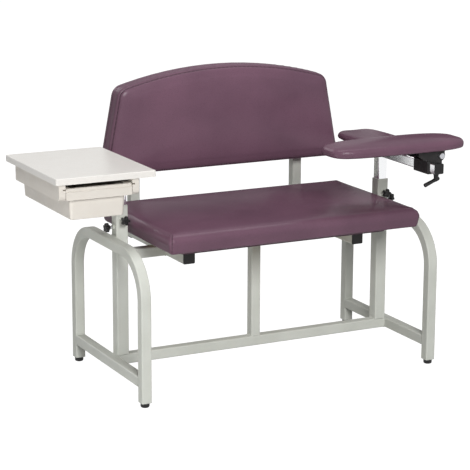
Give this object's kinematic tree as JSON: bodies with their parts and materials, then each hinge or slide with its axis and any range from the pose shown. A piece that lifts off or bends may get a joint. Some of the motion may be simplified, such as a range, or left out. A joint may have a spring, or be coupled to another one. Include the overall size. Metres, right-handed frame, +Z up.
{
  "type": "phlebotomy chair",
  "caption": "Wide padded blood-draw chair on a square-tube frame, with a sliding tray and drawer on one side and a padded arm with a flip-up front pad on the other.",
  "frame": {"origin": "on the floor, at the middle of the outline of the whole chair as shown: arms at their pictured height, drawer shut and front pad down", "axes": "+Z up, the sitter faces -Y, +X towards the padded arm (the right side as seen from the front)"},
  "size_m": [1.2978, 0.6324, 0.92],
  "materials": {
    "frame_paint": "satin",
    "chromed_steel": "polished",
    "zinc_steel": "satin",
    "black_plastic": "matte",
    "black_casting": "matte",
    "black_aluminium": "matte",
    "plum_vinyl": "satin",
    "plywood": "matte",
    "vinyl_covered_board": "satin",
    "tray_laminate": "satin",
    "drawer_plastic": "satin"
  },
  "bodies": {
    "frame": {"left_leg_hoop": "frame_paint", "right_leg_hoop": "frame_paint", "left_side_rail": "frame_paint", "right_side_rail": "frame_paint", "long_rail": "frame_paint", "center_post": "frame_paint", "left_sleeve": "frame_paint", "right_sleeve": "frame_paint", "left_cross_tube": "frame_paint", "center_cross_tube": "frame_paint", "right_cross_tube": "frame_paint", "left_seat_rail": "frame_paint", "right_seat_rail": "frame_paint", "left_back_post": "frame_paint", "right_back_post": "frame_paint", "floor_feet": "black_plastic", "seat_rail_plugs": "black_plastic", "back_post_plugs": "black_plastic", "weld_nuts": "frame_paint", "seat_board": "plywood", "seat_cushion": "plum_vinyl", "seat_screws": "zinc_steel", "back_board": "vinyl_covered_board", "back_cushion": "plum_vinyl", "back_screws": "zinc_steel"},
    "left_arm": {"left_post": "chromed_steel", "tray_plate": "zinc_steel", "tray_top": "tray_laminate", "left_runner": "drawer_plastic", "right_runner": "drawer_plastic", "tray_screws": "zinc_steel"},
    "drawer": {"drawer_bin": "drawer_plastic"},
    "right_arm": {"right_post": "chromed_steel", "arm_bar": "chromed_steel", "arm_bar_plugs": "black_plastic", "elbow_board": "plywood", "elbow_pad": "plum_vinyl", "elbow_screws": "zinc_steel"},
    "carriage": {"clamp_block": "black_aluminium", "hinge_bolt": "zinc_steel", "hinge_nut": "zinc_steel"},
    "flip_arm": {"hinge_bracket": "zinc_steel", "flip_board": "plywood", "flip_pad": "plum_vinyl", "flip_screws": "zinc_steel"},
    "clamp_handle": {"clamp_lever": "black_casting", "clamp_screw": "zinc_steel"},
    "left_front_clamp": {"left_front_knob": "black_plastic", "left_front_stud": "zinc_steel"},
    "left_side_clamp": {"left_side_knob": "black_plastic", "left_side_stud": "zinc_steel"},
    "right_front_clamp": {"right_front_knob": "black_plastic", "right_front_stud": "zinc_steel"},
    "right_side_clamp": {"right_side_knob": "black_plastic", "right_side_stud": "zinc_steel"}
  },
  "joints": [
    {"name": "left_height", "type": "slide", "parent": "frame", "child": "left_arm", "axis": [0, 0, 1], "range_m": [-0.075, 0.1]},
    {"name": "drawer_slide", "type": "slide", "parent": "left_arm", "child": "drawer", "axis": [0, -1, 0], "range_m": [0, 0.3]},
    {"name": "right_height", "type": "slide", "parent": "frame", "child": "right_arm", "axis": [0, 0, 1], "range_m": [-0.05, 0.1]},
    {"name": "carriage_slide", "type": "slide", "parent": "right_arm", "child": "carriage", "axis": [0, -1, 0], "range_m": [-0.06, 0.02]},
    {"name": "flip_hinge", "type": "hinge", "parent": "carriage", "child": "flip_arm", "pos_m": [0.56485, -0.23872, 0.67697], "axis": [0, 1, 0], "range_deg": [0, 90]},
    {"name": "clamp_turn", "type": "hinge", "parent": "carriage", "child": "clamp_handle", "pos_m": [0.56273, -0.25872, 0.6], "axis": [0, 0, -1], "range_deg": [0, 90]},
    {"name": "left_front_knob_turn", "type": "hinge", "parent": "frame", "child": "left_front_clamp", "pos_m": [-0.36935, -0.01528, 0.5115], "axis": [0, -1, 0], "range_deg": [0, 360]},
    {"name": "left_side_knob_turn", "type": "hinge", "parent": "frame", "child": "left_side_clamp", "pos_m": [-0.4129, 0.02828, 0.486], "axis": [-1, 0, 0], "range_deg": [0, 360]},
    {"name": "right_front_knob_turn", "type": "hinge", "parent": "frame", "child": "right_front_clamp", "pos_m": [0.53905, -0.01528, 0.5115], "axis": [0, -1, 0], "range_deg": [0, 360]},
    {"name": "right_side_knob_turn", "type": "hinge", "parent": "frame", "child": "right_side_clamp", "pos_m": [0.5826, 0.02828, 0.486], "axis": [1, 0, 0], "range_deg": [0, 360]}
  ]
}
